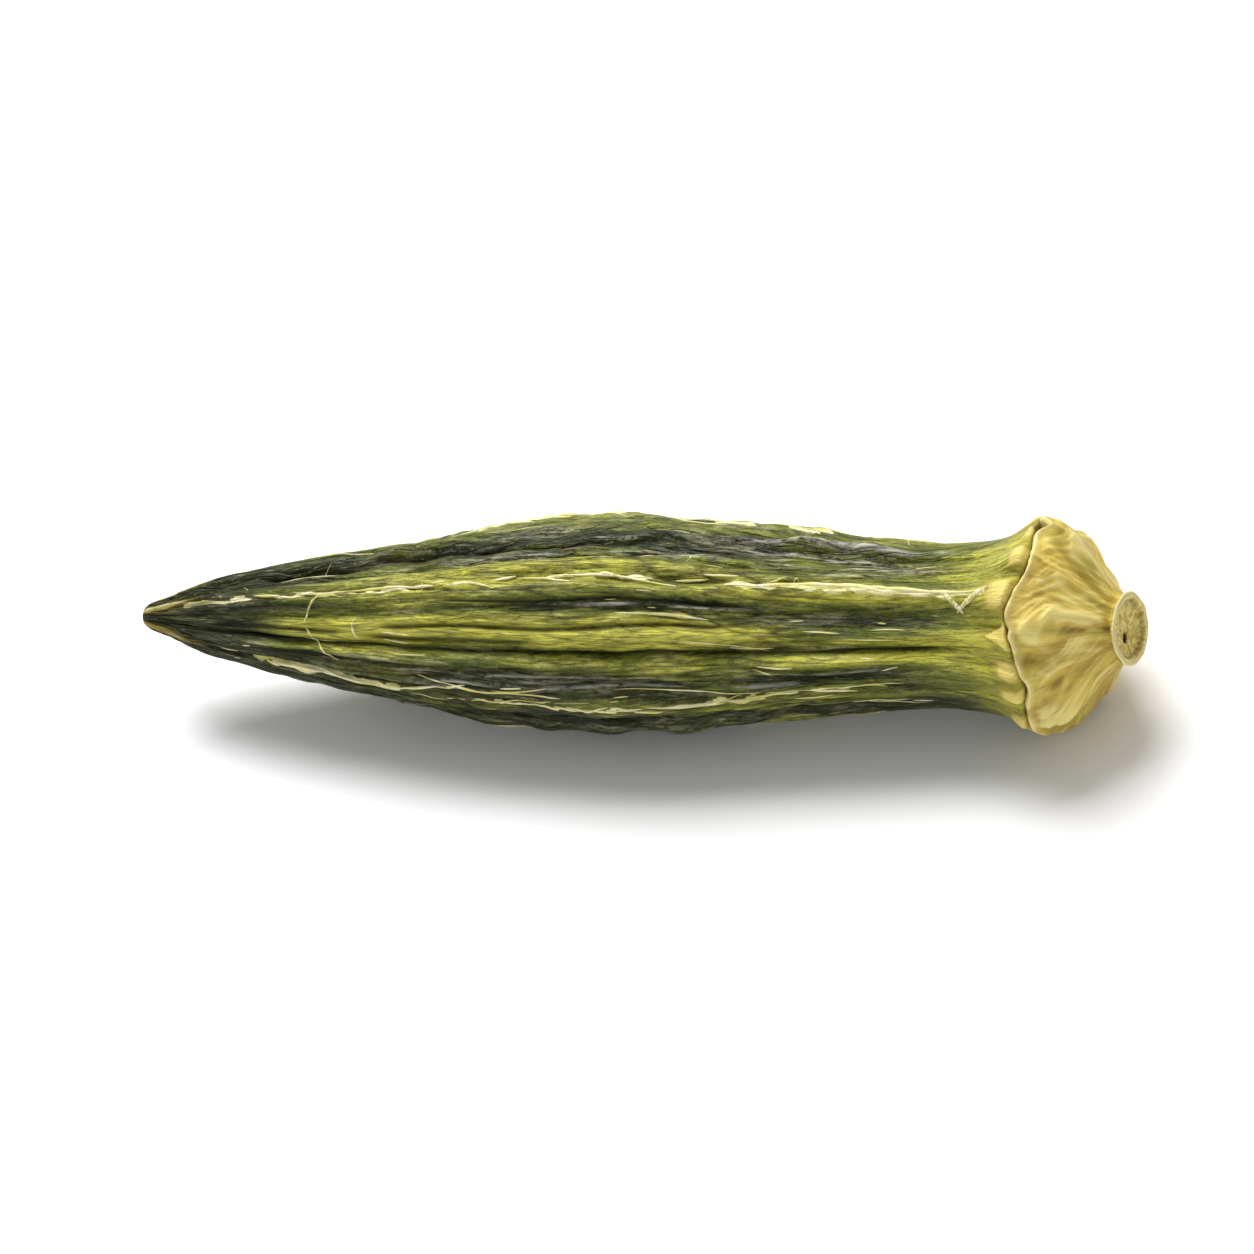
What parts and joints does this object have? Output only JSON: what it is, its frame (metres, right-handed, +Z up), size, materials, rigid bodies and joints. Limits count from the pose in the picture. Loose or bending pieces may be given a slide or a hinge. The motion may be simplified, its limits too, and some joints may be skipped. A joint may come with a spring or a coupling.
{
  "type": "okra pod",
  "caption": "Whole dried okra pod lying on its side: a shrivelled, ridged seed pod that tapers to a blunt tip, with a neck, a lobed shoulder, a pale woody cap and a cut stalk end",
  "frame": {"origin": "bottom centre of the box round the lying pod, on the surface that it rests on", "axes": "+X along the pod from its tip to its stalk, +Z up from the surface that it lies on"},
  "size_m": [0.0776, 0.0154, 0.0153],
  "materials": {
    "pod_skin": "satin",
    "pod_cap": "matte"
  },
  "bodies": {
    "root": {"okra_pod": "pod_skin"}
  },
  "joints": []
}
